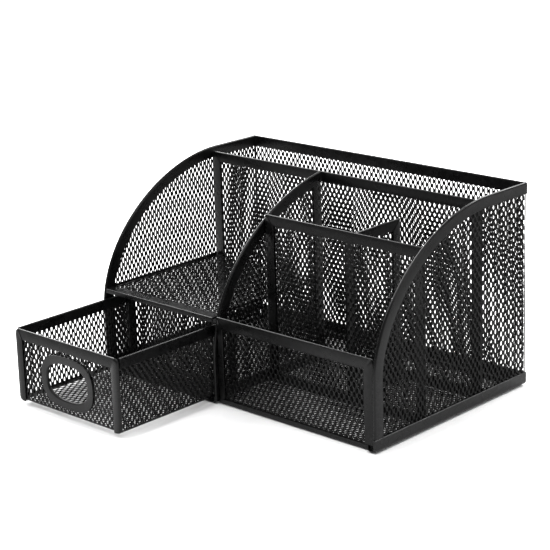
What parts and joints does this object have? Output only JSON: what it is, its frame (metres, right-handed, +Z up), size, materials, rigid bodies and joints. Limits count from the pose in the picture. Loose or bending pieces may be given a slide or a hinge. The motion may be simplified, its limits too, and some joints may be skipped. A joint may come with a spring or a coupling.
{
  "type": "mesh desk organizer with drawer",
  "caption": "Black steel-mesh desk organizer with arched side panels, a full-width rear slot, open pockets, a shelf tray and a pull-out drawer with an oval finger ring.",
  "frame": {"origin": "centre of the body's footprint on the desk, on the underside of its floor mesh", "axes": "+X to the right when facing the drawer, +Y to the rear wall, +Z up"},
  "size_m": [0.22, 0.212, 0.125],
  "materials": {
    "strip_coat": "black powder coat, satin, on folded steel strip",
    "mesh_coat": "black powder coat, satin, on expanded steel mesh"
  },
  "bodies": {
    "body": {"left_side_rim": "strip_coat", "left_side_mesh": "mesh_coat", "right_side_rim": "strip_coat", "right_side_mesh": "mesh_coat", "rear_wall_rim": "strip_coat", "rear_wall_mesh": "mesh_coat", "base_rim_left": "strip_coat", "base_rim_right": "strip_coat", "base_rim_rear": "strip_coat", "base_rim_front_left": "strip_coat", "base_rim_front_right": "strip_coat", "base_mesh": "mesh_coat", "front_panel_rim": "strip_coat", "front_panel_mesh": "mesh_coat", "middle_panel_rim": "strip_coat", "middle_panel_mesh": "mesh_coat", "rear_divider_rim": "strip_coat", "rear_divider_mesh": "mesh_coat", "cross_divider_rim": "strip_coat", "cross_divider_mesh": "mesh_coat", "short_divider_rim": "strip_coat", "short_divider_mesh": "mesh_coat", "shelf_rim": "strip_coat", "shelf_mesh": "mesh_coat"},
    "drawer": {"drawer_front_rim": "strip_coat", "drawer_front_mesh": "mesh_coat", "drawer_pull": "strip_coat", "drawer_left_rim": "strip_coat", "drawer_left_mesh": "mesh_coat", "drawer_right_rim": "strip_coat", "drawer_right_mesh": "mesh_coat", "drawer_back_rim": "strip_coat", "drawer_back_mesh": "mesh_coat", "drawer_floor_mesh": "mesh_coat"}
  },
  "joints": [
    {"name": "drawer_slide", "type": "slide", "parent": "body", "child": "drawer", "axis": [0, -1, 0], "range_m": [-0.0717, 0.03]}
  ]
}
